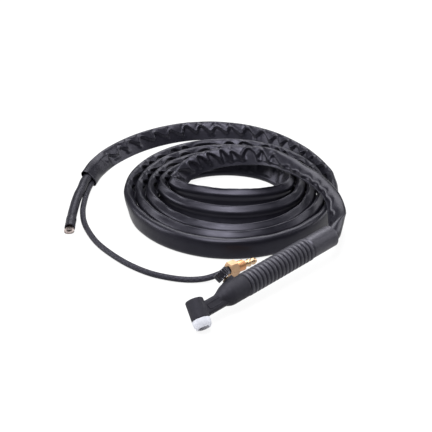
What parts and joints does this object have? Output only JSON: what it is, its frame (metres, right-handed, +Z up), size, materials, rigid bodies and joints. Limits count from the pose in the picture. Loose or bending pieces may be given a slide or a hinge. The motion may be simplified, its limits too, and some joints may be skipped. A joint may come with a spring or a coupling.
{
  "type": "tig torch",
  "caption": "Gas cooled TIG torch with an angled head, a valve on the neck and a ribbed handle, lying by its coiled cable with a lug and a gas fitting.",
  "frame": {"origin": "centre of the footprint of the torch itself (head, body and handle) on the floor it lies on", "axes": "+X from the head to the rear of the handle, +Z up, +Y from the handle towards the coil"},
  "size_m": [0.441, 0.4487, 0.0546],
  "materials": {
    "torch_rubber": "matt black over-moulded rubber",
    "copper_alloy": "plain copper alloy",
    "white_ptfe": "smooth white fluoropolymer",
    "brass": "turned brass",
    "seal_rubber": "smooth black elastomer",
    "knob_plastic": "fine matt black moulding",
    "zinc_steel": "bright zinc plate",
    "cable_rubber": "smooth black cable jacket",
    "hose_rubber": "black hose with faint braid marks",
    "handle_plastic": "satin black moulding",
    "sleeve_plastic": "soft black film, wrinkled on the inside of each turn",
    "shrink_plastic": "black shrink tube",
    "tinned_copper": "thinly tinned copper",
    "nut_brass": "brass, dulled flats",
    "copper_fitting": "polished copper coloured body"
  },
  "bodies": {
    "torch": {"body_moulding": "torch_rubber", "head_core": "copper_alloy", "cup_gasket": "white_ptfe", "neck_tube": "copper_alloy", "valve_block": "brass", "valve_gland": "brass", "power_connector": "copper_alloy", "gas_barb": "brass", "hose_clip": "zinc_steel", "power_cable_lead": "cable_rubber", "gas_hose_lead": "hose_rubber", "handle": "handle_plastic", "cable_sleeve": "sleeve_plastic", "power_cable_tail": "cable_rubber", "gas_hose_tail": "hose_rubber", "lug_shrink_tube": "shrink_plastic", "cable_lug": "tinned_copper", "hose_tailpiece": "brass", "fitting_seal": "seal_rubber", "fitting_body": "copper_fitting", "plug_nipple": "brass"},
    "valve_seal": {"spindle_oring": "seal_rubber"},
    "valve": {"valve_spindle": "brass", "valve_knob": "knob_plastic", "knob_screw": "zinc_steel"},
    "nut": {"hose_nut": "nut_brass"}
  },
  "joints": [
    {"name": "valve_lift", "type": "slide", "parent": "torch", "child": "valve_seal", "axis": [-0.2411, 0.7493, 0.6168], "range_m": [0, 0.001]},
    {"name": "valve_turn", "type": "hinge", "parent": "valve_seal", "child": "valve", "pos_m": [-0.0468, -0.0033, 0.02463], "axis": [-0.2411, 0.7493, 0.6168], "range_deg": [0, 450]},
    {"name": "nut_turn", "type": "hinge", "parent": "torch", "child": "nut", "pos_m": [-0.00288, 0.05549, 0.0095], "axis": [0.9905, -0.1374, 0], "continuous": true}
  ],
  "couplings": [
    {"joint": "valve_turn", "follows": "valve_lift", "rad_per_m": 7854}
  ]
}
